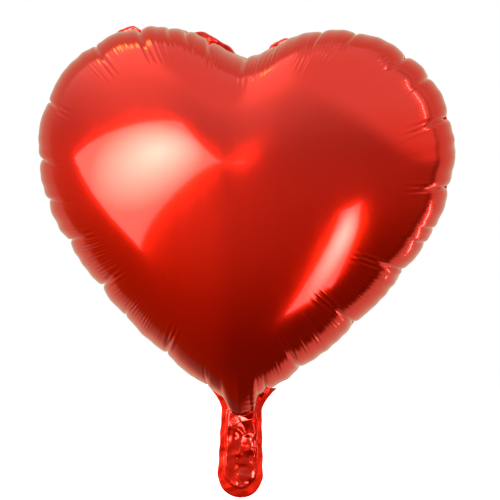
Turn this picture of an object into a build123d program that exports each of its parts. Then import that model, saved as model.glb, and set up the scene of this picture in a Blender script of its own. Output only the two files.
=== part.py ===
"""A heart-shaped foil balloon, inflated, with its flat filling tail hanging from the neck.

Two foil panels are heat sealed together round a heart-shaped rim. Each bulges into a smooth dome
and turns back in a groove to the seal. A two-ply tail hangs from the tip of the heart, and the
flat two-film valve runs from the tail up into the gas space.

Units are millimetres. +Z is up, +X is to the right seen from the front, and the front faces -Y.
The origin is at the middle of the neck, on the fold where the tail meets the heart and where the
ribbon is tied. The real foil is about 0.03 mm thick and the films about 0.05 mm: both are drawn
thicker here, so that they are sound solids.
"""
import os
from math import atan2, cos, degrees, exp, hypot, radians, sin, sqrt

from build123d import *

# ---- heart outline, at the widest belt of each inflated panel
lobe_radius = 101.0        # the two rounds at the top
lobe_offset = 75.5         # centre of a round, from the middle line
lobe_height = 228.0        # centre of a round, above the neck
notch_radius = 33.0        # the hollow between the rounds
cheek_radius = 142.0       # the tighter curve just below the widest point
cheek_turn = 33.0          # degrees that this curve turns through
tip_radius = 9.0           # rounding of the point
tip_lift = 5.0             # the point, above the fold

# ---- how a panel bulges
panel_bulge = 92.0         # mid-plane to the crown of one panel
crown_height = 188.0       # the crown, above the neck
belt_depth = 9.0           # mid-plane to the widest belt of a panel
seam_inset = 6.0           # how far the seal sits inside the belt
seam_margin = 0.01         # a skin starts this far off the seal plane, so as not to bulge past it
fullness = 2.2             # power of the dome's profile, 2 is an ellipse
tip_slimness = 0.25        # added to the profile's power at the point
tip_spread = 8.0           # degrees either side of the point that this reaches
oval_power = 0.3           # how soon the level curves round off towards the crown
foil = 0.5                 # drawn thickness of one foil ply

# ---- neck and tail
neck_width = 35.0          # the tail where it leaves the neck
tail_width = 38.0          # the tail near its lower end
tail_length = 72.0         # fold to the lower end
tail_corner = 17.0         # rounding of the two lower corners
web_fillet = 8.0           # rounding where the heart's seal runs into the tail
fold_gap = 1.0             # plies stop this far above and below the fold line
side_seal = 5.0            # width of the seal along the tail's sides
end_seal = 8.5             # width of the seal across its lower end
pocket_top = 14.0          # fold to the top of the loose pocket of the tail
pocket_depth = 3.0         # how far each ply stands off the mid-plane at the pocket
pocket_slope = 45.0        # degrees, sides of the pocket
pocket_corner = 11.0       # rounding of the pocket's corners

# ---- valve
film = 0.15                # drawn thickness of one valve film
film_margin = 1.5          # from the tail's side seal to a film's edge
film_reach = 75.0          # the free end inside the heart, above the fold
film_end_gap = 7.0         # the lower end stops this far above the pocket's end
film_clearance = 0.3       # between a film's edge and the channel through the neck
film_slack = 0.05          # between a film's face and the ply over it
port_radius = 4.0          # filling hole in the back ply of the tail
port_rise = 18.0           # centre of that hole, above the pocket's end
port_clearance = 1.0       # the film's hole is this much larger in radius

# ---- how finely the smooth skins are drawn
half_points = 44           # points along half an outline
rises = (0.0, 0.2, 0.38, 0.55, 0.7, 0.83, 0.925, 0.98, 0.995)
groove_steps = (0.0, 0.15, 0.45, 0.75)

front = Plane.XZ                        # seen along +Y, so local x is X and local y is Z
pocket_end = tail_length - end_seal     # below the fold
film_width = min(neck_width, tail_width) - 2 * (side_seal + film_margin)
web_top = tip_lift + tip_radius + neck_width / 2        # well inside the heart
channel_top = tip_lift + seam_inset + film_width        # where the gas space is wider than a film
os.makedirs("parts", exist_ok=True)


def half_outline(inset):
    """Right half of the heart, notch to point: five tangent arcs, all drawn in by inset."""
    notch_height = lobe_height + sqrt((lobe_radius + notch_radius) ** 2 - lobe_offset ** 2)
    notch_angle = degrees(atan2(notch_height - lobe_height, -lobe_offset))

    cheek_x = lobe_offset + lobe_radius - cheek_radius
    out_x, out_z = cos(radians(cheek_turn)), -sin(radians(cheek_turn))
    tip_height = tip_lift + tip_radius
    reach_x = cheek_x + cheek_radius * out_x
    reach_z = lobe_height + cheek_radius * out_z - tip_height
    # the long side is the one arc that leaves the cheek and meets the point without a corner
    side_radius = (reach_x ** 2 + reach_z ** 2 - tip_radius ** 2) / (
        2 * (reach_x * out_x + reach_z * out_z - tip_radius))
    side_x = cheek_x + (cheek_radius - side_radius) * out_x
    side_z = lobe_height + (cheek_radius - side_radius) * out_z
    side_end = degrees(atan2(tip_height - side_z, -side_x))

    with BuildLine(mode=Mode.PRIVATE) as line:
        CenterArc((0, notch_height), notch_radius + inset, -90, notch_angle - 90)
        CenterArc((lobe_offset, lobe_height), lobe_radius - inset, notch_angle, -notch_angle)
        CenterArc((cheek_x, lobe_height), cheek_radius - inset, 0, -cheek_turn)
        CenterArc((side_x, side_z), side_radius - inset, -cheek_turn, side_end + cheek_turn)
        CenterArc((0, tip_height), tip_radius - inset, side_end, -90 - side_end)
    return line.wire()


def half_rim(inset):
    """Points (x, z) along half the heart, evenly spaced from the notch to the point."""
    wire = half_outline(inset)
    places = [wire.position_at(i / half_points) for i in range(half_points + 1)]
    if places[0].Y < places[-1].Y:
        places.reverse()
    return [(place.X, place.Y) for place in places]


def smooth_curve(points):
    """A smooth closed curve through half an outline and its mirror image."""
    mirrored = [(-x, z) for x, z in reversed(points[1:-1])]
    with BuildLine(mode=Mode.PRIVATE) as line:
        Spline(*(points + mirrored), periodic=True)
    return line.edges()


def risen(rim, rise):
    """Half the panel's level curve where it has risen by a share of its bulge.

    Each point slides from the rim towards the crown. The share of the way that is left is
    (1 - rise ** (1 / n)) ** (1 / fullness), with n one half all round but larger at the point.
    Near the crown the curve also rounds from a heart into an oval.
    """
    mean = sum(hypot(x, z - crown_height) for x, z in rim) / len(rim)
    points = []
    for x, z in rim:
        out_x, out_z = x, z - crown_height
        size = hypot(out_x, out_z)
        off_tip = degrees(atan2(abs(out_x), -out_z))
        power = 0.5 + tip_slimness * exp(-(off_tip / tip_spread) ** 2)
        share = (1 - rise ** (1 / power)) ** (1 / fullness)
        heart = share ** oval_power
        scale = share * (heart + (1 - heart) * mean / size)
        points.append((out_x * scale, crown_height + out_z * scale))
    return points


def panel_body(inset):
    """Solid under a panel's skin, or under a skin that lies inside it by inset.

    From the seal it goes out to the belt along a quarter of an ellipse, then up to the crown.
    """
    floor = inset + seam_margin
    belt_rise = belt_depth - floor
    crown_rise = panel_bulge - inset - belt_depth
    with BuildPart(mode=Mode.PRIVATE) as body:
        for step in groove_steps:
            drawn_in = (seam_inset - inset) * (1 - sqrt(1 - (1 - step) ** 2))
            with BuildSketch(front.offset(floor + belt_rise * step)):
                make_face(smooth_curve(half_rim(inset + drawn_in)))
        for rise in rises:
            with BuildSketch(front.offset(belt_depth + rise * crown_rise)):
                make_face(smooth_curve(risen(half_rim(inset), rise)))
        loft()
    return body.part


def neck_strip(width, top):
    """Inside a sketch: a strip of the neck from the fold up to a height."""
    with Locations((0, (fold_gap + top) / 2)):
        Rectangle(width, top - fold_gap)


def build_panel():
    """The front foil panel: a domed shell, its flat seal border and the web down to the fold."""
    dome = panel_body(0)
    hollow = panel_body(foil)
    with BuildPart() as panel:
        with BuildSketch(front):
            with BuildLine():
                add(half_outline(0))
                mirror(about=Plane.YZ)
            make_face()
            neck_strip(neck_width, web_top)
            web_corners = vertices().filter_by_position(Axis.Y, tip_lift, web_top)
            fillet(web_corners, web_fillet)
        extrude(amount=foil)
        add(dome)
        add(hollow, mode=Mode.SUBTRACT)
        with BuildSketch(front):
            make_face(smooth_curve(half_rim(seam_inset)))
        extrude(amount=foil, mode=Mode.SUBTRACT)
        with BuildSketch(front):
            neck_strip(film_width + 2 * film_clearance, channel_top)
        extrude(amount=film + film_slack, mode=Mode.SUBTRACT)
    return panel.part


def tail_edge(length, half_top, half_end, corner):
    """Outline of the hanging tail in (x, z): straight sides that flare, and two round corners."""
    with BuildLine(mode=Mode.PRIVATE) as line:
        FilletPolyline((-half_top, -fold_gap), (-half_end, -length), (half_end, -length),
                       (half_top, -fold_gap), radius=corner)
        Line((half_top, -fold_gap), (-half_top, -fold_gap))
    return line.edges()


def pocket_edge(inset):
    """Outline of the tail's loose pocket, inside its seals, drawn in by inset."""
    lean = (tail_width - neck_width) / 2 / tail_length
    half_top = neck_width / 2 + lean * pocket_top - side_seal - inset
    half_end = tail_width / 2 - side_seal - inset
    top = -pocket_top - inset
    end = -pocket_end + inset
    with BuildLine(mode=Mode.PRIVATE) as line:
        Polyline((-half_top, top), (-half_end, end), (half_end, end), (half_top, top), close=True)
        fillet(line.vertices(), pocket_corner - inset)
    return line.edges()


def build_ply():
    """The front ply of the tail: a flat seal border with a shallow pocket pressed out of it."""
    with BuildPart() as ply:
        with BuildSketch(front):
            make_face(tail_edge(tail_length, neck_width / 2, tail_width / 2, tail_corner))
        extrude(amount=foil)
        with BuildSketch(front):
            make_face(pocket_edge(0))
        extrude(amount=pocket_depth, taper=pocket_slope)
        with BuildSketch(front):
            make_face(pocket_edge(foil))
        extrude(amount=pocket_depth - foil, taper=pocket_slope, mode=Mode.SUBTRACT)
        with BuildSketch(front):
            with Locations((0, -(fold_gap + pocket_top + pocket_corner) / 2)):
                Rectangle(film_width + 2 * film_clearance, pocket_top + pocket_corner - fold_gap)
        extrude(amount=film + film_slack, mode=Mode.SUBTRACT)
    return ply.part


def build_film(start, end):
    """The front film of the valve between two heights: a flat strip lying on the mid-plane."""
    with BuildPart() as strip:
        with BuildSketch(front):
            with Locations((0, (start + end) / 2)):
                Rectangle(film_width, abs(end - start))
        extrude(amount=film)
    return strip.part


port = Plane(origin=(0, pocket_depth, port_rise - pocket_end), z_dir=(0, 1, 0))
half_turn = (0, 0, 180)                 # a back piece is its front piece turned round
panel = build_panel()
ply = build_ply()
valve_film = build_film(fold_gap, film_reach)
inlet_film = build_film(-fold_gap, film_end_gap - pocket_end)

with BuildPart() as front_panel:
    add(panel)

with BuildPart() as back_panel:
    add(panel, rotation=half_turn)

with BuildPart() as tail_front_ply:
    add(ply)

with BuildPart() as tail_back_ply:
    add(ply, rotation=half_turn)
    with Locations(port):
        Hole(port_radius, depth=foil)

with BuildPart() as valve_front_film:
    add(valve_film)

with BuildPart() as valve_back_film:
    add(valve_film, rotation=half_turn)

with BuildPart() as inlet_front_film:
    add(inlet_film)

with BuildPart() as inlet_back_film:
    add(inlet_film, rotation=half_turn)
    with Locations(port):
        Hole(port_radius + port_clearance, depth=pocket_depth)

pieces = {
    "front_panel": front_panel,
    "back_panel": back_panel,
    "valve_front_film": valve_front_film,
    "valve_back_film": valve_back_film,
    "tail_front_ply": tail_front_ply,
    "tail_back_ply": tail_back_ply,
    "inlet_front_film": inlet_front_film,
    "inlet_back_film": inlet_back_film,
}
for name, piece in pieces.items():
    piece.part.label = name
    export_step(piece.part, f"parts/{name}.step")
    size = piece.part.bounding_box().size
    print(f"{name}: {piece.part.volume:.0f} mm3, {size.X:.1f} x {size.Y:.1f} x {size.Z:.1f} mm")
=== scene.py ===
# %% [markdown]
# # A heart-shaped foil balloon
# A foil balloon is two flat sheets of thin metallised film, sealed together round the edge.
# Gas can't stretch the film, so the flat hearts bow out into domes and the rim, which is now too
# long for the shape that it goes round, gathers into puckers. Those puckers are what tells a foil
# balloon from a rubber one, so most of this file is about the rim.
#
# The imported CAD model is loaded first. It gives the sizes, and has two bodies: the envelope, which
# is the heart, and the tail, which folds at the neck. The heart's pieces ride on the envelope; the
# tail's foil is made in place and rides on no body.

# %% Load the frame
import math

import bpy
import numpy as np
from mathutils import Matrix, Vector


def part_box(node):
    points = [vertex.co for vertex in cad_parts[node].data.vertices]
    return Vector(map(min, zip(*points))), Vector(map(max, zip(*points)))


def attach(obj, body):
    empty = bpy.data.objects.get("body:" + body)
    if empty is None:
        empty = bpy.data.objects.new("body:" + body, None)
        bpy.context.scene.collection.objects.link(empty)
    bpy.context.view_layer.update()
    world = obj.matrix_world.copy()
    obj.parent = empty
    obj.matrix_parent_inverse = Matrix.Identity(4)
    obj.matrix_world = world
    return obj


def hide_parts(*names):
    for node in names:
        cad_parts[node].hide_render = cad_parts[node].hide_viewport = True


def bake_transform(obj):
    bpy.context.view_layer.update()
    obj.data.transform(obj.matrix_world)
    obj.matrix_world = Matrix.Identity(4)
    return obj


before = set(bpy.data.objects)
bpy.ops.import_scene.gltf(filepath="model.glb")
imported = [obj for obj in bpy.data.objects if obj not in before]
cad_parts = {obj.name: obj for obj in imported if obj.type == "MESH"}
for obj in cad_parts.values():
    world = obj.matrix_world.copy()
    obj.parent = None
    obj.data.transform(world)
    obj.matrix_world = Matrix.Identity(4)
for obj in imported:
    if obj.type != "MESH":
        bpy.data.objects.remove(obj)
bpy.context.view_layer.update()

MM = 0.001
CLEAR, TAU = 1e-9, 2 * math.pi
panel_low, panel_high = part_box("front_panel")
tail_low, tail_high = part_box("tail_front_ply")
half_width = panel_high.x / MM
heart_top = panel_high.z / MM
bulge = -panel_low.y / MM
tail_length = -tail_low.z / MM
tail_half = tail_high.x / MM
print(f"heart {2 * half_width:.0f} wide, {heart_top:.0f} high, each side {bulge:.0f} deep;"
      f" tail {2 * tail_half:.0f} x {tail_length:.0f} mm")

# %% [markdown]
# ## The outline
# The heart is drawn at its belt, the widest line of an inflated side. Half of it is five arcs that
# flow into each other: the notch, the round at the top, the cheek, the long side and the point.
# Arcs are how such a die is drawn, and each has one radius that can be checked with a ruler. The
# point is blunt here, because the film is drawn down over the neck later, as a tongue.

# %% The outline as arcs
lobe_radius, cheek_radius, cheek_turn = 101.0, 142.0, 33.0
notch_radius, point_radius, point_height = 33.0, 33.0, 13.4
lobe_x, lobe_z = half_width - lobe_radius, heart_top - lobe_radius
crown_z = 188.0
arc_step, fewest_on_arc = 15, 8


def half_heart():
    """Dense points (x, z) from the notch to the point down the right side.

    An arc is centre + radius * (cos a, sin a). The long side's radius is the one that leaves the
    cheek in line and arrives in line with the small circle of the point.
    """
    notch_z = lobe_z + math.sqrt((lobe_radius + notch_radius) ** 2 - lobe_x ** 2)
    notch_angle = math.degrees(math.atan2(notch_z - lobe_z, -lobe_x))
    turn = math.radians(cheek_turn)
    out = np.array([math.cos(turn), -math.sin(turn)])
    cheek = np.array([lobe_x + lobe_radius - cheek_radius, lobe_z])
    point = np.array([0.0, point_height + point_radius])
    reach = cheek + cheek_radius * out - point
    side_radius = (reach @ reach - point_radius ** 2) / (2 * (reach @ out - point_radius))
    side = cheek + (cheek_radius - side_radius) * out
    side_end = math.degrees(math.atan2(*(point - side)[::-1]))
    arcs = [((0.0, notch_z), notch_radius, -90.0, notch_angle - 180.0),
            ((lobe_x, lobe_z), lobe_radius, notch_angle, 0.0),
            (cheek, cheek_radius, 0.0, -cheek_turn),
            (side, side_radius, -cheek_turn, side_end),
            (point, point_radius, side_end, -90.0)]
    runs = []
    for centre, radius, start, end in arcs:
        count = max(fewest_on_arc, int(abs(end - start) * radius / arc_step))
        angle = np.radians(np.linspace(start, end, count))
        runs.append(np.asarray(centre) + radius * np.c_[np.cos(angle), np.sin(angle)])
    return np.concatenate(runs)


def resample(curve, count):
    """A closed curve's points moved to equal steps of length, the first one kept."""
    closed = np.vstack([curve, curve[:1]])
    length = np.r_[0, np.cumsum(np.linalg.norm(np.diff(closed, axis=0), axis=1))]
    at = np.linspace(0, length[-1], count, endpoint=False)
    return np.c_[np.interp(at, length, closed[:, 0]), np.interp(at, length, closed[:, 1])], length[-1]


columns = 1408
half = half_heart()
half = half[np.r_[True, np.linalg.norm(np.diff(half, axis=0), axis=1) > CLEAR]]
outline, rim_length = resample(np.vstack([half, (half * [-1, 1])[-2:0:-1]]), columns)
along = np.arange(columns) / columns * rim_length
print(f"rim {rim_length:.0f} mm round, a column every {rim_length / columns:.2f} mm")


def soften(values, reach):
    """Rounds a closed row of values with a Gaussian of that reach in mm, through its spectrum."""
    waves = np.fft.rfftfreq(len(values), rim_length / len(values))
    keep = np.exp(-0.5 * (TAU * waves * reach) ** 2)
    spectrum = np.fft.rfft(values, axis=0)
    return np.fft.irfft(spectrum * (keep[:, None] if values.ndim == 2 else keep), len(values), axis=0)


# %% [markdown]
# ## The smooth side
# A membrane that can't stretch takes a shape whose sides rise steeply from the rim and level off
# at the crown. Its level curves start as the heart and grow rounder on the way up, so the outline
# is softened more and more towards the crown. Below the belt the film turns back in to the seal.

# %% Level curves, and the profile over them
belt_depth, seam_inset, fullness = 9.0, 6.0, 2.2
least_soft, most_soft, normal_soft = 3.0, 66.0, 4.0
outward = np.roll(outline, -1, 0) - np.roll(outline, 1, 0)
outward = soften(np.c_[-outward[:, 1], outward[:, 0]], normal_soft)
outward /= np.linalg.norm(outward, axis=1)[:, None]
groove_turn = math.radians(70.0)


def smooth_side(path):
    """The unpuckered side, as rows by columns of (x, depth, z).

    path runs 0 at the crown, 1 at the belt, 2 at the seal. On the dome, with a = 90 deg * path,
    the share of the way out is sin(a) ** (2 / fullness) and the depth goes as cos(a). In the
    groove the film follows part of an ellipse in to the seal and down to the mid-plane.
    """
    a = np.minimum(path, 1.0) * math.pi / 2
    share = np.sin(a) ** (2 / fullness)
    reach = least_soft + (most_soft - least_soft) * (1 - share)
    curves = np.stack([soften(outline, size) for size in reach])
    centre = np.array([0.0, crown_z])
    flat = centre + (curves - centre) * share[:, None, None]
    b = np.maximum(path - 1.0, 0.0) * groove_turn
    inset = seam_inset * (1 - np.cos(b)) / (1 - math.cos(groove_turn))
    flat = flat - outward * inset[:, None, None]
    depth = np.where(path <= 1, belt_depth + (bulge - belt_depth) * np.cos(a),
                     belt_depth * (1 - np.sin(b) / math.sin(groove_turn)))
    return np.stack([flat[..., 0], np.broadcast_to(depth[:, None], flat.shape[:2]), flat[..., 1]], -1)


def normals_of(grid):
    """Unit normals of a rows by columns grid that closes along its columns, facing outwards."""
    down = np.gradient(grid, axis=0)
    round_ = np.roll(grid, -1, 1) - np.roll(grid, 1, 1)
    normal = np.cross(down, round_)
    return normal / np.maximum(np.linalg.norm(normal, axis=2), CLEAR)[..., None]


# %% [markdown]
# ## The puckers
# The rim is a fifth too long for its place. Most of the spare film goes into a few deep creases
# that run straight in from the seal, and between two creases the film blows up into a puff. The
# rest goes into fans of fine ripples at the inner end of each crease, and into rows of stripes.
#
# A crease is listed by its place along the rim from the notch, in mm, then how deep it pinches the
# belt, how far it reaches in over the side, and how strong its fan of ripples is. The places of
# the left side are measured from the notch too, down to the left. A stretch of stripes on the left
# has places below zero.

# %% Where the creases are
creases_right = [(0, 3.0, 30, 0.8), (28, 1.4, 14, 0.9), (68, 2.0, 26, 0.6), (97, 2.6, 26, 0.8),
                 (144, 3.8, 22, 1.0), (170, 2.2, 14, 0.3), (208, 4.2, 22, 0.8), (268, 4.0, 24, 0.6),
                 (305, 2.0, 12, 0.3), (319, 1.8, 10, 0.3), (348, 4.0, 32, 1.0), (409, 3.6, 36, 1.0),
                 (469, 3.4, 28, 1.0), (503, 2.0, 14, 0.4)]
creases_left = [(33, 2.4, 22, 0.8), (55, 1.8, 16, 0.7), (71, 1.8, 14, 0.6), (96, 3.2, 24, 1.0),
                (137, 3.0, 24, 1.0), (201, 3.2, 16, 0.7), (252, 3.0, 18, 0.8), (288, 2.4, 15, 0.5),
                (328, 3.4, 24, 0.9), (376, 3.6, 26, 1.0), (408, 1.8, 12, 0.4), (456, 3.4, 26, 1.0),
                (501, 2.0, 14, 0.4)]
creases = sorted([(at, *rest) for at, *rest in creases_right]
                 + [(rim_length - at, *rest) for at, *rest in creases_left])
crease_at, crease_pinch, crease_reach, crease_fan = np.array(creases).T
print(f"{len(creases)} creases, on average every {rim_length / len(creases):.0f} mm")

# stretches of the rim with fine stripes: start, end, strength
stripes = [(-52, -20, 0.6), (8, 30, 1.0), (60, 110, 0.6), (130, 150, 0.6), (330, 352, 0.4),
           (352, 405, 0.9), (412, 470, 1.1), (475, 500, 0.4), (-376, -330, 1.1), (-460, -380, 0.4),
           (-330, -300, 0.3), (-150, -70, 0.4)]


# %% Sizes of the pinch, the fans and the stripes, in mm
# a crease's three parts: share of its pinch, and half width along the rim
broad_share, open_share, sharp_share = 0.50, 0.45, 0.75
open_half, sharp_half, sharp_growth = 3.0, 0.8, 0.02
# how soon they fade over the side
broad_fade, broad_end, open_fade = 11.0, (14, 34), 7.0
# a fan: height, half width and length of a ripple, and how much the last two grow on the way in
fan_height, fan_half, fan_growth = 0.30, 2.4, 0.10
ripple_length, ripple_growth, ripple_spread = 3.6, 0.06, 0.12
# the stripes: height, what is left of them outside their stretches, and where they start and end
stripe_height, stripe_least, stripe_start, stripe_end = 0.12, 0.06, (5, 14), 27.0
# the slow swell of the belt
swell_height, swell_fade = 0.22, 8.0


# %% The pinch, the fans and the stripes
def rim_noise(seed, finest, coarsest):
    """Smooth noise round the rim, of unit size: random waves whose lengths lie between two sizes."""
    chance = np.random.default_rng(seed)
    order = np.arange(int(rim_length / coarsest), int(rim_length / finest) + 1)
    spectrum = np.zeros(columns // 2 + 1, complex)
    turns = np.exp(1j * chance.uniform(0, TAU, len(order)))
    spectrum[order] = turns * chance.uniform(0.4, 1, len(order))
    noise = np.fft.irfft(spectrum, columns)
    return noise / noise.std()


def gap_to(place):
    """Signed distance along the closed rim from a place to every column."""
    return (along - place + rim_length / 2) % rim_length - rim_length / 2


def smoothstep(low, high, value):
    """0 below low, 1 above high, and an S between them."""
    part = np.clip((value - low) / (high - low), 0, 1)
    return part * part * (3 - 2 * part)


def pucker(inward, seed):
    """How far the film stands off the smooth side, in mm, for rows at inward mm from the belt.

    Each crease takes away its pinch times three parts. The sharp part is exp(-gap / 0.8 mm), the
    open part exp(-gap / 3 mm), and the broad part a square that reaches zero half way to the next
    crease, so that what is left between two creases is a rounded puff. All fade over the side, the
    sharp one last. A fan adds a cosine across the inner end of its crease, and the stripes add
    noise with waves of 3 to 5 mm along the rim.
    """
    chance = np.random.default_rng(seed)
    height = np.zeros((len(inward), columns))
    over = np.maximum(inward, 0)[:, None]
    under = np.maximum(-inward, 0)[:, None]
    before = (crease_at - np.roll(crease_at, 1)) % rim_length
    after = (np.roll(crease_at, -1) - crease_at) % rim_length
    for k, place in enumerate(crease_at):
        pinch, reach, fan = crease_pinch[k], crease_reach[k], crease_fan[k]
        bend = chance.normal(0, 0.05) * over
        gap = gap_to(place)[None, :] - bend
        half = np.where(gap < 0, before[k], after[k]) / 2
        broad = np.clip(1 - np.abs(gap) / half, 0, 1) ** 2
        opened = np.exp(-np.abs(gap) / open_half) * np.exp(-over / open_fade)
        sharp = np.exp(-np.abs(gap) / (sharp_half + sharp_growth * over))
        broad = broad * np.exp(-over / broad_fade) * (1 - smoothstep(*broad_end, over))
        sharp = sharp * (1 - smoothstep(0.2 * reach, reach, over) + 0.04 * under)
        height -= pinch * (broad_share * broad + open_share * opened + sharp_share * sharp)
        spread = fan_half + fan_growth * over
        wave = ripple_length + ripple_growth * over + ripple_spread * np.abs(gap)
        wave = wave + chance.uniform(-0.5, 0.8)
        window = smoothstep(0.2 * reach, 0.6 * reach, over)
        window = window * (1 - smoothstep(0.9 * reach, reach + 13, over))
        ripple = np.cos(TAU * gap / wave + chance.uniform(-0.9, 0.9))
        height += fan_height * fan * ripple * np.exp(-0.5 * (gap / spread) ** 2) * window
    fine = rim_noise(seed + 1, 3.1, 4.6)
    slow = rim_noise(seed + 2, 11, 30)
    length = rim_noise(seed + 3, 4, 12)
    strength = np.full(columns, stripe_least)
    for start, end, size in stripes:
        gap, half = np.abs(gap_to((start + end) / 2)), (end - start) / 2
        strength += size * (1 - smoothstep(half - 4, half + 8, gap))
    end_at = stripe_end + 4 * length[None, :]
    window = smoothstep(*stripe_start, over) * (1 - smoothstep(end_at - 8, end_at + 6, over))
    height += stripe_height * strength * fine * (1 + 0.4 * slow) * window
    height += swell_height * slow * np.exp(-over / swell_fade)
    return height


# %% [markdown]
# ## From arrays to a mesh
# A side has far more columns than its smooth middle needs. The middle uses every fourth column,
# and one ring of seven-sided faces joins it to the fine rim. The crown is closed with a fan. A
# plain inner wall then runs back from the seal to its own crown, so that each side is a closed
# shell and nothing shows an open edge.

# %% Mesh helpers
def add_mesh(name, points, faces):
    """A smooth-shaded mesh object at the origin, from points in mm and a list of face arrays."""
    loops = np.concatenate([f.ravel() for f in faces]).astype(np.int32)
    sizes = np.concatenate([np.full(len(f), f.shape[1]) for f in faces]).astype(np.int32)
    starts = np.r_[0, np.cumsum(sizes)[:-1]].astype(np.int32)
    mesh = bpy.data.meshes.new(name)
    mesh.vertices.add(len(points))
    mesh.vertices.foreach_set("co", (np.asarray(points, np.float32) * MM).ravel())
    mesh.loops.add(len(loops))
    mesh.loops.foreach_set("vertex_index", loops)
    mesh.polygons.add(len(sizes))
    mesh.polygons.foreach_set("loop_start", starts)
    mesh.update(calc_edges=True)
    mesh.polygons.foreach_set("use_smooth", np.ones(len(sizes), bool))
    mesh.validate()
    piece = bpy.data.objects.new(name, mesh)
    bpy.context.scene.collection.objects.link(piece)
    print(f"{name}: {len(points)} points, {int((sizes - 2).sum())} triangles")
    return piece


def ring_faces(rows, count, start=0):
    """Quads of a grid of rows by count points that closes along its rows."""
    row, col = np.meshgrid(np.arange(rows - 1), np.arange(count), indexing="ij")
    here, there = start + row * count, start + (row + 1) * count
    after = (col + 1) % count
    return np.stack([here + col, here + after, there + after, there + col], -1).reshape(-1, 4)


def stitch_faces(coarse, fine, few, times, coarse_first):
    """One ring of faces between a row of few points and a row of few * times points."""
    i = np.arange(few)
    one, two = coarse + i, coarse + (i + 1) % few
    ahead = [fine + (times * i + k) % (few * times) for k in range(times + 1)]
    return np.stack([one, two, *ahead[::-1]] if coarse_first else [*ahead, two, one], -1)


def fan_faces(pole, ring, count, pole_first):
    """Triangles between one point and a closed row of points."""
    i = np.arange(count)
    here, after = ring + i, ring + (i + 1) % count
    centre = np.full(count, pole)
    return np.stack([centre, after, here] if pole_first else [here, after, centre], -1)


# %% [markdown]
# ## The tongue over the neck
# At the point of the heart the gas space runs on into the neck. The film there is drawn down over
# the top of the tail as a blunt tongue with a crease along its middle, and the dome narrows to it
# like a wedge, because so narrow a stretch of film can't bulge far.

# %% How far the film is drawn down, and the crease in the tongue
front_drop, back_drop, tongue_reach = 12.2, 10.0, 24.0
left_flank, right_flank = (-14, -2), (13.5, 18.5)
neck_depth, neck_soft = 15.0, 5.0
ridge_height, ridge_x, ridge_left, ridge_right = 3.6, 3.0, 15.0, 9.0
wrinkle_height, wrinkle_step = 0.22, 2.4


def tongue(x, inward):
    """Share, 0 to 1, that belongs to the tongue: an S down each flank, and another up the dome."""
    flanks = smoothstep(*left_flank, x) * (1 - smoothstep(*right_flank, x))
    return flanks * (1 - smoothstep(3, tongue_reach, inward))


def near_neck(depth, height):
    """Depths in mm, held below a wedge that narrows to the neck.

    The wedge is 15 mm deep at its foot and 1 mm deeper for each mm up. A soft minimum joins it to
    the dome: -5 mm * log(exp(-depth / 5 mm) + exp(-wedge / 5 mm)).
    """
    wedge = neck_depth + np.maximum(height, 0)
    return -neck_soft * np.logaddexp(-depth / neck_soft, -wedge / neck_soft)


def tongue_fold(x, inward):
    """Height in mm of the crease over the tongue: a tent that leans to the right.

    Fine wrinkles, a sine up the dome, cross its right flank.
    """
    tent = np.clip(1 - np.abs(x - ridge_x) / np.where(x < ridge_x, ridge_left, ridge_right), 0, 1)
    on_flank = smoothstep(4, 12, x) * (1 - smoothstep(16, 20, x))
    wrinkles = wrinkle_height * np.sin(TAU * (inward + 0.3 * x) / wrinkle_step) * on_flank
    fade = (1 - smoothstep(10, 26, inward)) * smoothstep(-1, 5, inward)
    return (ridge_height * tent + wrinkles) * fade


# %% Rows of a side, from its crown to the seal and back
thin, half_span, lining_gap, seal_depth = 4, 150.0, 6.5, 0.1
middle_path = np.linspace(0, 0.425, 20)[1:]
band_path = 1 - 0.56 * np.linspace(1, 0, 45) ** 1.1
groove_path = 1 + np.linspace(0, 1, 9)[1:]
lining_path = np.linspace(0.95, 0, 20)[:-1]
print(f"{len(middle_path)} rows in the middle, {len(band_path) + len(groove_path)} in the rim")


def lining(path):
    """The plain inner wall, path 1 at the seal to 0 at the crown, as coarse rows of points."""
    a = path * math.pi / 2
    share = np.sin(a) ** (2 / fullness)
    reach = least_soft + (most_soft - least_soft) * (1 - share)
    centre = np.array([0.0, crown_z])
    edge = outline - outward * lining_gap
    curves = np.stack([soften(edge, size) for size in reach])[:, ::thin]
    flat = centre + (curves - centre) * share[:, None, None]
    depth = (bulge - lining_gap) * np.cos(a)
    return np.stack([flat[..., 0], np.broadcast_to(depth[:, None], flat.shape[:2]), flat[..., 1]], -1)


# %% The rim, with its puckers and the tongue
def build_rim(seed, drop):
    """The fine rows of a side, puckered, and drawn down at the point by drop mm.

    A row's place is how far in from the belt it lies, seen from the front: what is left of the
    share of the way out, times half the heart's span. Below the belt it is less than zero.
    """
    rim = smooth_side(np.r_[band_path, groove_path])
    share = np.sin(band_path * math.pi / 2) ** (2 / fullness)
    inward = np.r_[half_span * (1 - share), -(groove_path - 1) * belt_depth]
    near_point = smoothstep(60, 30, np.abs(gap_to(rim_length / 2)))[None, :]
    x, over = rim[..., 0].copy(), np.broadcast_to(inward[:, None], rim.shape[:2])
    rim[..., 2] -= drop * tongue(x, np.maximum(over, 0)) * near_point
    held = near_neck(rim[..., 1], rim[..., 2]) - rim[..., 1]
    rim[..., 1] += held * smoothstep(0, 4, over)
    height = pucker(inward, seed) + tongue_fold(x, over) * near_point
    rim = rim + normals_of(rim) * height[..., None]
    rim[-1, :, 1] = seal_depth
    return rim


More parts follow.
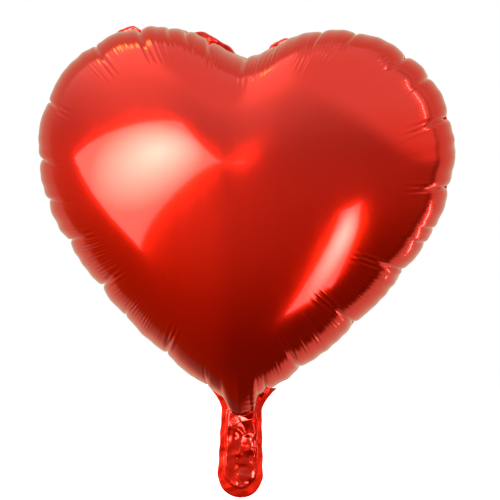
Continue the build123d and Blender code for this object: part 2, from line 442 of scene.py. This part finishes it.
# %% One side of the heart
def build_side(name, sign, seed, drop):
    """One foil side: closed crown, coarse middle, fine rim, and the lining back. -1 is the front."""
    rim = build_rim(seed, drop)
    middle = smooth_side(middle_path)[:, ::thin]
    inner = lining(lining_path)
    few = columns // thin
    points = np.concatenate([[[0, bulge, crown_z]], middle.reshape(-1, 3), rim.reshape(-1, 3),
                             inner.reshape(-1, 3), [[0, bulge - lining_gap, crown_z]]])
    rim_start = 1 + len(middle) * few
    inner_start = rim_start + len(rim) * columns
    faces = [fan_faces(0, 1, few, True), ring_faces(len(middle), few, 1),
             stitch_faces(rim_start - few, rim_start, few, thin, True),
             ring_faces(len(rim), columns, rim_start),
             stitch_faces(inner_start, inner_start - columns, few, thin, False),
             ring_faces(len(inner), few, inner_start),
             fan_faces(len(points) - 1, len(points) - 1 - few, few, False)]
    faces = [f[:, ::-1] for f in faces] if sign > 0 else faces
    return add_mesh(name, points * [1, sign, 1], faces)


front_foil = build_side("front_foil", -1, 11, front_drop)
back_foil = build_side("back_foil", 1, 23, back_drop)
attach(front_foil, "envelope")
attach(back_foil, "envelope")
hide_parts("front_panel")
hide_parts("back_panel")

# %% [markdown]
# ## The seam
# Outside the weld the two sheets carry on as a flat flange a few millimetres wide. It sits in the
# groove between the two domes and wanders from side to side, because the weld is drawn in and the
# flange isn't. At the top it is a little wider and shows over the rim.

# %% The flange
flange_steps = 6
flange_inner, flange_outer, flange_half = 7.0, 3.4, 0.12
# where the flange stands out past the belt: place along the rim, half length, how far
peeks = [(-109, 17, 6.2), (-31, 32, 6.4), (28, 17, 6.2)]


def build_flange(name):
    """A closed ribbon: at each place round the rim, points out from the weld, and back again.

    A point t of the way out stands t times the width from the weld, and t times a slow wave to
    the front or the back of the middle plane.
    """
    outer = np.full(columns, flange_outer)
    for place, half, size in peeks:
        outer -= size * (1 - smoothstep(0.3 * half, half, np.abs(gap_to(place))))
    outer += 0.3 * rim_noise(70, 14, 40)
    lean = 1.4 * rim_noise(71, 26, 90) + 0.15 * rim_noise(72, 8, 18)
    t = np.linspace(0, 1, flange_steps)[None, :]
    inset = flange_inner + (outer[:, None] - flange_inner) * t
    lean = lean[:, None] * t
    flat = outline[:, None] - outward[:, None] * inset[..., None]
    thick = flange_half * np.r_[np.ones(flange_steps - 1), 0.4][None, :]
    front_side = np.stack([flat[..., 0], lean - thick, flat[..., 1]], -1)
    back_side = np.stack([flat[..., 0], lean + thick, flat[..., 1]], -1)
    ring = np.concatenate([front_side, back_side[:, ::-1]], 1)
    count = ring.shape[1]
    faces = ring_faces(columns + 1, count) % (columns * count)
    return add_mesh(name, ring.reshape(-1, 3), [faces])


seam_flange = build_flange("seam_flange")
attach(seam_flange, "envelope")

# %% [markdown]
# ## The tail
# The tail is a flat bag of the same two sheets, welded down both sides and round its end. It holds
# no gas, so it stays crumpled as it left the press and the hand. Crumpled foil is flat between
# sharp folds, which a sum of triangle waves gives: each wave folds the sheet into flat strips. At
# the top the bag flares into two webs that run in between the domes.

# %% Outline of the tail
tail_axis, neck_half, end_half = 1.5, 17.3, 19.5
web_start, web_top, web_flare, flare_power = 4.0, 24.0, 12.6, 1.6
end_start = 20.5 - tail_length
across, side_rows, end_rows = 108, 210, 65


def tail_rows():
    """Heights and half widths of the bag's rows: the flared web, the long sides, the round end."""
    sides = np.linspace(web_top, end_start, side_rows)
    widths = neck_half + (end_half - neck_half) * (web_start - sides) / (web_start - end_start)
    up_web = np.maximum(sides - web_start, 0) / (web_top - web_start)
    widths = np.where(sides > web_start, neck_half + web_flare * up_web ** flare_power, widths)
    turn = np.radians(np.linspace(0, 88, end_rows + 1)[1:])
    ends = end_start - (tail_length + end_start) * np.sin(turn)
    return np.r_[sides, ends], np.r_[widths, end_half * np.cos(turn)]


def facets(right, up, seed, waves, longest, shortest, slope):
    """Crumpled foil in mm: a sum of triangle waves that run in random directions.

    A wave of length L adds slope * L / 4 * (4 * |t - nearest whole number| - 1), where t is the
    distance along it over L, with its corners slightly rounded. A slow sideways bend keeps its
    folds from being ruled lines.
    """
    chance = np.random.default_rng(seed)
    sheet = np.zeros(right.shape)
    for length in np.geomspace(longest, shortest, waves):
        turn, shift, sway = chance.uniform(0, math.pi), chance.uniform(), chance.uniform(0, TAU)
        run = right * math.cos(turn) + up * math.sin(turn)
        side = up * math.cos(turn) - right * math.sin(turn)
        t = (run + 0.22 * length * np.sin(TAU * side / (2.6 * length) + sway)) / length + shift
        sheet += slope * length / 4 * (4 * np.sqrt((t - np.round(t)) ** 2 + 0.001) - 1)
    return sheet


# %% Sizes of the weld, the fold and the crumple, in mm
side_weld, end_weld, weld_slope = 4.2, 2.6, 3.0
least_gap, loose_gap, thinnest = 0.35, 0.9, 0.12
fold_depth, fold_x, fold_run = 3.4, -1.5, 10.5
left_share, neck_share = 0.35, 0.8
# waves, longest, shortest, slope
big_facets, small_facets, weld_facets = (4, 40, 13, 0.13), (2, 8, 6, 0.03), (3, 22, 9, 0.05)
fold_wander = (3, 30, 12, 0.35)


# %% How far a ply stands off
def edge_distance(x, height, half):
    """Distance in mm from each place in to the edge of the bag."""
    return np.where(height < end_start, end_half - np.hypot(x, height - end_start), half - np.abs(x))


def unwelded(x, height, half):
    """0 in the weld round the edge, which is wider at the bottom, and 1 inside it."""
    weld = side_weld + end_weld * smoothstep(end_start + 4, end_start - 12, height)
    edge = edge_distance(x, height, half)
    return smoothstep(weld, weld + weld_slope, edge)


def ply(x, height, half, seed):
    """How far one ply stands off the middle plane, in mm.

    It is nearly flat in the weld. Inside it the left half stands off evenly, then a fold runs down
    the middle and the right half slopes back to its weld. The facets are strongest on the right
    and under the neck.
    """
    fold_at = fold_x + facets(height * 0, height, seed + 5, *fold_wander)
    fold = np.clip(1 - np.maximum(x - fold_at, 0) / fold_run, 0, 1) * smoothstep(8, -8, height)
    limp = left_share + (1 - left_share) * smoothstep(-6, 0, x)
    under_neck = smoothstep(4, -4, height) * smoothstep(-28, -18, height)
    crumple = facets(x, height, seed, *big_facets) + facets(x, height, seed + 1, *small_facets)
    stand = loose_gap + fold_depth * fold + crumple * (limp + neck_share * under_neck)
    welded = least_gap + facets(x, height, seed + 2, *weld_facets)
    thick = np.maximum(welded + unwelded(x, height, half) * stand, thinnest)
    return thick * np.clip(edge_distance(x, height, half) / 0.5, 0, 1)


# %% The two plies, as one closed bag
def build_tail(name):
    """Rows of closed rings, front ply then back ply, with a point at the top and the bottom.

    The piece keeps a weld attribute, 1 in the weld, for its finish.
    """
    height, half = tail_rows()
    edge_turn = 0.985 * math.pi / 2
    u = np.sin(np.linspace(-edge_turn, edge_turn, across + 1)) / math.sin(edge_turn)
    grid_h, grid_w = height[:, None] + 0 * u, half[:, None] + 0 * u
    grid_u = u[None, :] + 0 * grid_h
    flat_x = grid_u * grid_w
    front_ply, back_ply = ply(flat_x, grid_h, grid_w, 31), ply(flat_x, grid_h, grid_w, 47)
    middle = 0.5 * np.sin(TAU * grid_h / 46) * smoothstep(0, -20, grid_h)
    sideways = 0.25 * np.sin(TAU * grid_h / 17 + 2 * grid_u) * smoothstep(0, -9, grid_h)
    x = tail_axis + flat_x + sideways
    front_side = np.stack([x, middle - front_ply, grid_h], -1)
    back_side = np.stack([x, middle + back_ply, grid_h], -1)
    ring = np.concatenate([front_side, back_side[:, -2:0:-1]], 1)
    rows, count = ring.shape[:2]
    top, bottom = [tail_axis, 0, web_top + 0.3], [tail_axis, 0, -tail_length]
    points = np.concatenate([ring.reshape(-1, 3), [top, bottom]])
    faces = [ring_faces(rows, count), fan_faces(rows * count, 0, count, True),
             fan_faces(rows * count + 1, (rows - 1) * count, count, False)]
    loose = unwelded(flat_x, grid_h, grid_w)
    loose = np.concatenate([loose, loose[:, -2:0:-1]], 1)
    bag = add_mesh(name, points, [f[:, ::-1] for f in faces])
    mark = bag.data.attributes.new("weld", "FLOAT", "POINT")
    mark.data.foreach_set("value", np.r_[1 - loose.ravel(), 1, 1].astype(np.float32))
    return bag


tail_foil = build_tail("tail_foil")
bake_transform(tail_foil)
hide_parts("tail_front_ply", "tail_back_ply")

# %% [markdown]
# ## The foil's finish
# The film is clear red lacquer over bright aluminium. So it is a coloured metal with a clear coat:
# the metal gives the red reflections, and the coat adds a thin white one that grows at grazing
# angles, which is why the rim looks paler than the middle. A fine grain and faint draw marks keep
# the reflections from being those of a perfect mirror, and the tail's weld is pressed matt.

# %% Foil
def material(name):
    """A new node material, with its nodes and links."""
    made = bpy.data.materials.new(name)
    made.use_nodes = True
    return made, made.node_tree.nodes, made.node_tree.links


def noise(nodes, links, where, scale, detail, stretch=(1, 1, 1)):
    """A noise texture on object coordinates, stretched along an axis by its scale there."""
    place = nodes.new("ShaderNodeMapping")
    place.inputs["Scale"].default_value = stretch
    links.new(where.outputs["Object"], place.inputs["Vector"])
    cloud = nodes.new("ShaderNodeTexNoise")
    cloud.inputs["Scale"].default_value = scale
    cloud.inputs["Detail"].default_value = detail
    links.new(place.outputs[0], cloud.inputs["Vector"])
    return cloud.outputs["Fac"]


def between(nodes, links, value, low, high):
    """A value of 0.3 to 0.7 spread over low to high."""
    spread = nodes.new("ShaderNodeMapRange")
    spread.inputs["From Min"].default_value = 0.3
    spread.inputs["From Max"].default_value = 0.7
    spread.inputs["To Min"].default_value = low
    spread.inputs["To Max"].default_value = high
    links.new(value, spread.inputs["Value"])
    return spread.outputs[0]


def foil_material(name, rough, grain, weld_rough=None):
    """Red foil: rough gives the least and most roughness, grain the strength of the fine relief.

    With weld_rough, the film is as rough as that wherever the piece's weld attribute is 1.
    """
    made, nodes, links = material(name)
    shader = nodes["Principled BSDF"]
    shader.inputs["Metallic"].default_value = 1.0
    shader.inputs["Coat Weight"].default_value = 0.7
    shader.inputs["Coat Roughness"].default_value = 0.07
    where = nodes.new("ShaderNodeTexCoord")
    patches = noise(nodes, links, where, 9.0, 3.0)
    colour = nodes.new("ShaderNodeValToRGB")
    colour.color_ramp.elements[0].color = (0.83, 0.0125, 0.0025, 1)
    colour.color_ramp.elements[1].color = (0.88, 0.0155, 0.0035, 1)
    links.new(patches, colour.inputs["Fac"])
    links.new(colour.outputs["Color"], shader.inputs["Base Color"])
    streaks = noise(nodes, links, where, 60.0, 3.0, (1.0, 1.0, 0.12))
    roughness = between(nodes, links, streaks, *rough)
    if weld_rough:
        weld = nodes.new("ShaderNodeAttribute")
        weld.attribute_name = "weld"
        choose = nodes.new("ShaderNodeMapRange")
        choose.inputs["To Max"].default_value = weld_rough
        links.new(weld.outputs["Fac"], choose.inputs["Value"])
        links.new(roughness, choose.inputs["To Min"])
        roughness = choose.outputs[0]
    links.new(roughness, shader.inputs["Roughness"])
    bump = nodes.new("ShaderNodeBump")
    bump.inputs["Strength"].default_value = grain
    bump.inputs["Distance"].default_value = 0.0004
    links.new(noise(nodes, links, where, 130.0, 4.0, (1.0, 1.0, 0.35)), bump.inputs["Height"])
    links.new(bump.outputs["Normal"], shader.inputs["Normal"])
    return made


red_foil = foil_material("red_foil", (0.15, 0.19), 0.05)
crumpled_foil = foil_material("crumpled_foil", (0.12, 0.22), 0.10, weld_rough=0.36)
for piece, finish in ((front_foil, red_foil), (back_foil, red_foil), (seam_flange, red_foil),
                      (tail_foil, crumpled_foil)):
    piece.data.materials.append(finish)

# %% [markdown]
# ## The valve's film
# Inside the tail, and up into the heart, lie the two clear films that close like lips when the gas
# presses on them. They are made as modelled, and need only their own clear finish.

# %% Clear film
clear_film, nodes, links = material("clear_film")
shader = nodes["Principled BSDF"]
shader.inputs["Base Color"].default_value = (0.93, 0.94, 0.95, 1)
shader.inputs["Transmission Weight"].default_value = 0.9
shader.inputs["IOR"].default_value = 1.5
haze = noise(nodes, links, nodes.new("ShaderNodeTexCoord"), 300.0, 2.0, (1.0, 1.0, 0.2))
links.new(between(nodes, links, haze, 0.12, 0.28), shader.inputs["Roughness"])
for node_name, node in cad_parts.items():
    node.data.materials.clear()
    node.data.materials.append(clear_film if node_name.endswith("film") else red_foil)

# %% [markdown]
# ## The studio
# Foil has hardly any colour of its own to show: it shows the room. So the room is made with care.
# Behind the balloon is a pale backdrop, which gives the whole rim its light band. In front, the
# room is dim and warm low down, and bright and cool near the ceiling, with a pale panel high on the
# right. One large softbox stands to the left and a narrow one low on the right. Two strips and a
# small warm lamp give the thin highlights in the rim.

# %% A room that depends on direction
scene = bpy.context.scene
scene.view_settings.view_transform = "Standard"
world = bpy.data.worlds.new("studio")
scene.world = world
world.use_nodes = True
room = world.node_tree
apart = room.nodes.new("ShaderNodeSeparateXYZ")
here = room.nodes.new("ShaderNodeTexCoord").outputs["Generated"]
room.links.new(here, apart.inputs[0])


def by_direction(part_of_it, stops):
    """A grey level that depends on one part of the direction: pairs of that part and the level."""
    spread = room.nodes.new("ShaderNodeMapRange")
    spread.inputs["From Min"].default_value = -1.0
    spread.inputs["From Max"].default_value = 1.0
    room.links.new(part_of_it, spread.inputs["Value"])
    ramp = room.nodes.new("ShaderNodeValToRGB")
    points = ramp.color_ramp.elements
    while len(points) < len(stops):
        points.new(0.5)
    for point, (part, level) in zip(points, stops):
        point.position = (part + 1) / 2
        point.color = (level, level, level, 1)
    room.links.new(spread.outputs[0], ramp.inputs["Fac"])
    return ramp.outputs["Color"]


def along(way):
    """How far the direction points along a given way."""
    product = room.nodes.new("ShaderNodeVectorMath")
    product.operation = "DOT_PRODUCT"
    room.links.new(here, product.inputs[0])
    product.inputs[1].default_value = way
    return product.outputs["Value"]


def combine(kind, one, two, factor=None):
    """Two colours mixed or multiplied, wholly unless a factor is given."""
    mix = room.nodes.new("ShaderNodeMix")
    mix.data_type, mix.blend_type = "RGBA", kind
    mix.inputs["Factor"].default_value = 1.0
    if factor is not None:
        room.links.new(factor, mix.inputs["Factor"])
    for value, socket in ((one, mix.inputs[6]), (two, mix.inputs[7])):
        if isinstance(value, tuple):
            socket.default_value = value
        else:
            room.links.new(value, socket)
    return mix.outputs[2]


# %% The room's colours
backdrop, panel, shade = (0.68, 0.58, 0.42, 1), (0.84, 0.84, 0.84, 1), (0.6, 0.6, 0.6, 1)
lamplight, skylight, white = (1.0, 0.30, 0.02, 1), (1.0, 1.36, 1.25, 1), (1.0, 1.0, 1.0, 1)
right, behind, up = apart.outputs["X"], apart.outputs["Y"], apart.outputs["Z"]

# in front: darker towards the floor, brighter on the left, and a pale panel high on the right
rise = by_direction(up, [(-1.0, 0.17), (-0.8, 0.20), (-0.6, 0.28), (-0.45, 0.38), (-0.3, 0.47),
                         (-0.05, 0.53), (0.25, 0.48), (0.55, 0.61), (0.74, 0.77), (0.87, 1.0),
                         (1.0, 1.05)])
to_right = by_direction(right, [(-1.0, 1.25), (-0.65, 1.5), (-0.35, 1.3), (-0.1, 1.03), (0.4, 0.9),
                                (1.0, 0.75)])
is_panel = by_direction(along((0.44, 0, 0.56)), [(0.39, 0.0), (0.46, 1.0)])
around = combine("MIX", combine("MULTIPLY", rise, to_right), panel, is_panel)

# warm light low down, cool light above
is_cool = by_direction(up, [(-0.6, 0.0), (0.1, 0.35), (0.55, 1.0)])
around = combine("MULTIPLY", around, combine("MIX", lamplight, skylight, is_cool))

# a dim gap between the room in front and the backdrop, on the right only
gap_beside = by_direction(behind, [(0.02, 0.0), (0.06, 1.0), (0.15, 1.0), (0.2, 0.0)])
on_right = by_direction(right, [(0.3, 0.0), (0.6, 1.0)])
around = combine("MULTIPLY", around, shade, combine("MULTIPLY", gap_beside, on_right))

# behind: the backdrop, which sinks into shadow near the floor
is_backdrop = by_direction(behind, [(0.16, 0.0), (0.25, 1.0)])
sinks = by_direction(along((0.25, 0, 0.95)), [(-0.98, 0.2), (-0.86, 0.45), (-0.70, 1.0)])
around = combine("MIX", around, combine("MULTIPLY", sinks, backdrop), is_backdrop)

camera_rays = room.nodes.new("ShaderNodeLightPath").outputs["Is Camera Ray"]
room.links.new(combine("MIX", around, white, camera_rays), room.nodes["Background"].inputs["Color"])
print(f"room of {len(room.nodes)} nodes, and plain white behind the balloon for the camera")


# %% A soft light
balloon_middle = Vector((0, 0, 0.17))


def soft_light(name, start, end, across_size, radiance, colour=(1, 1, 1), middle=1.0):
    """A rectangular light whose middle line runs from start to end, in metres, facing the balloon.

    Its edge has the radiance given, and its brightest point is middle times as bright.
    """
    start, end = Vector(start), Vector(end)
    length = (end - start).length
    run = (end - start) / length
    facing = balloon_middle - (start + end) / 2
    facing = (facing - facing.dot(run) * run).normalized()
    light = bpy.data.lights.new(name, "AREA")
    light.shape, light.size, light.size_y = "RECTANGLE", length, across_size
    light.energy, light.color = radiance * math.pi * length * across_size, colour
    lamp = bpy.data.objects.new(name, light)
    scene.collection.objects.link(lamp)
    lamp.matrix_world = Matrix((run, facing.cross(run) * -1, -facing)).transposed().to_4x4()
    lamp.matrix_world.translation = (start + end) / 2
    lamp.visible_camera = False
    print(f"{name}: {length:.2f} x {across_size:.2f} m")
    if middle > 1:
        # a ball gradient over the light's face, 0 at its edge and 1 in its middle
        light.use_nodes = True
        tree = light.node_tree
        place = tree.nodes.new("ShaderNodeMapping")
        place.inputs["Location"].default_value = (-1, -1, 0)
        place.inputs["Scale"].default_value = (2, 2, 1)
        ball = tree.nodes.new("ShaderNodeTexGradient")
        ball.gradient_type = "SPHERICAL"
        level = tree.nodes.new("ShaderNodeMapRange")
        level.inputs["To Min"].default_value = 1.0
        level.inputs["To Max"].default_value = middle
        tree.links.new(tree.nodes.new("ShaderNodeNewGeometry").outputs["Parametric"], place.inputs[0])
        tree.links.new(place.outputs[0], ball.inputs[0])
        tree.links.new(ball.outputs["Fac"], level.inputs["Value"])
        tree.links.new(level.outputs[0], tree.nodes["Emission"].inputs["Strength"])


# %% The lights
soft_light("left_softbox", (-0.92, -0.56, -0.07), (-0.41, -2.07, 0.95), 0.68, 3.4, middle=6.0)
soft_light("right_softbox", (1.13, -1.70, -0.30), (0.60, -0.60, -0.65), 0.27, 3.2, middle=5.5)
soft_light("right_strip", (1.16, -0.13, 0.62), (1.10, -0.10, 1.20), 0.03, 9)
soft_light("low_strip", (1.10, 0.22, -0.12), (0.96, 0.50, -0.50), 0.04, 7)
soft_light("warm_lamp", (-0.60, 0.05, 1.16), (-0.50, 0.13, 1.22), 0.20, 4.5, (0.35, 1.0, 0.03))

# %% The floor
floor_half, floor_z = 7.0, -0.95
corners = np.array([[-1, -1], [1, -1], [1, 1], [-1, 1]]) * floor_half
floor_points = np.c_[corners, np.full(4, floor_z)] / MM
floor = add_mesh("floor", floor_points, [np.array([[0, 1, 2, 3]])])
pale, nodes, links = material("pale_floor")
nodes["Principled BSDF"].inputs["Base Color"].default_value = (0.9, 0.9, 0.9, 1)
nodes["Principled BSDF"].inputs["Emission Color"].default_value = (1, 1, 1, 1)
nodes["Principled BSDF"].inputs["Emission Strength"].default_value = 0.9
floor.data.materials.append(pale)
floor.visible_glossy = False

# %% The camera
view_width, sensor = 0.4255, 36
aim = Vector((0.0055, 0, 0.1415))
azimuth, elevation, distance, roll = math.radians(6), math.radians(4), 1.6, math.radians(1.3)
away = Vector((math.sin(azimuth) * math.cos(elevation), -math.cos(azimuth) * math.cos(elevation),
               math.sin(elevation)))
camera = bpy.data.cameras.new("camera")
camera.lens = sensor * distance / view_width
eye = bpy.data.objects.new("camera", camera)
scene.collection.objects.link(eye)
eye.rotation_mode = "QUATERNION"
eye.location = aim + away * distance
level = (-away).to_track_quat("-Z", "Y")
eye.rotation_quaternion = level @ Matrix.Rotation(roll, 3, "Z").to_quaternion()
scene.camera = eye
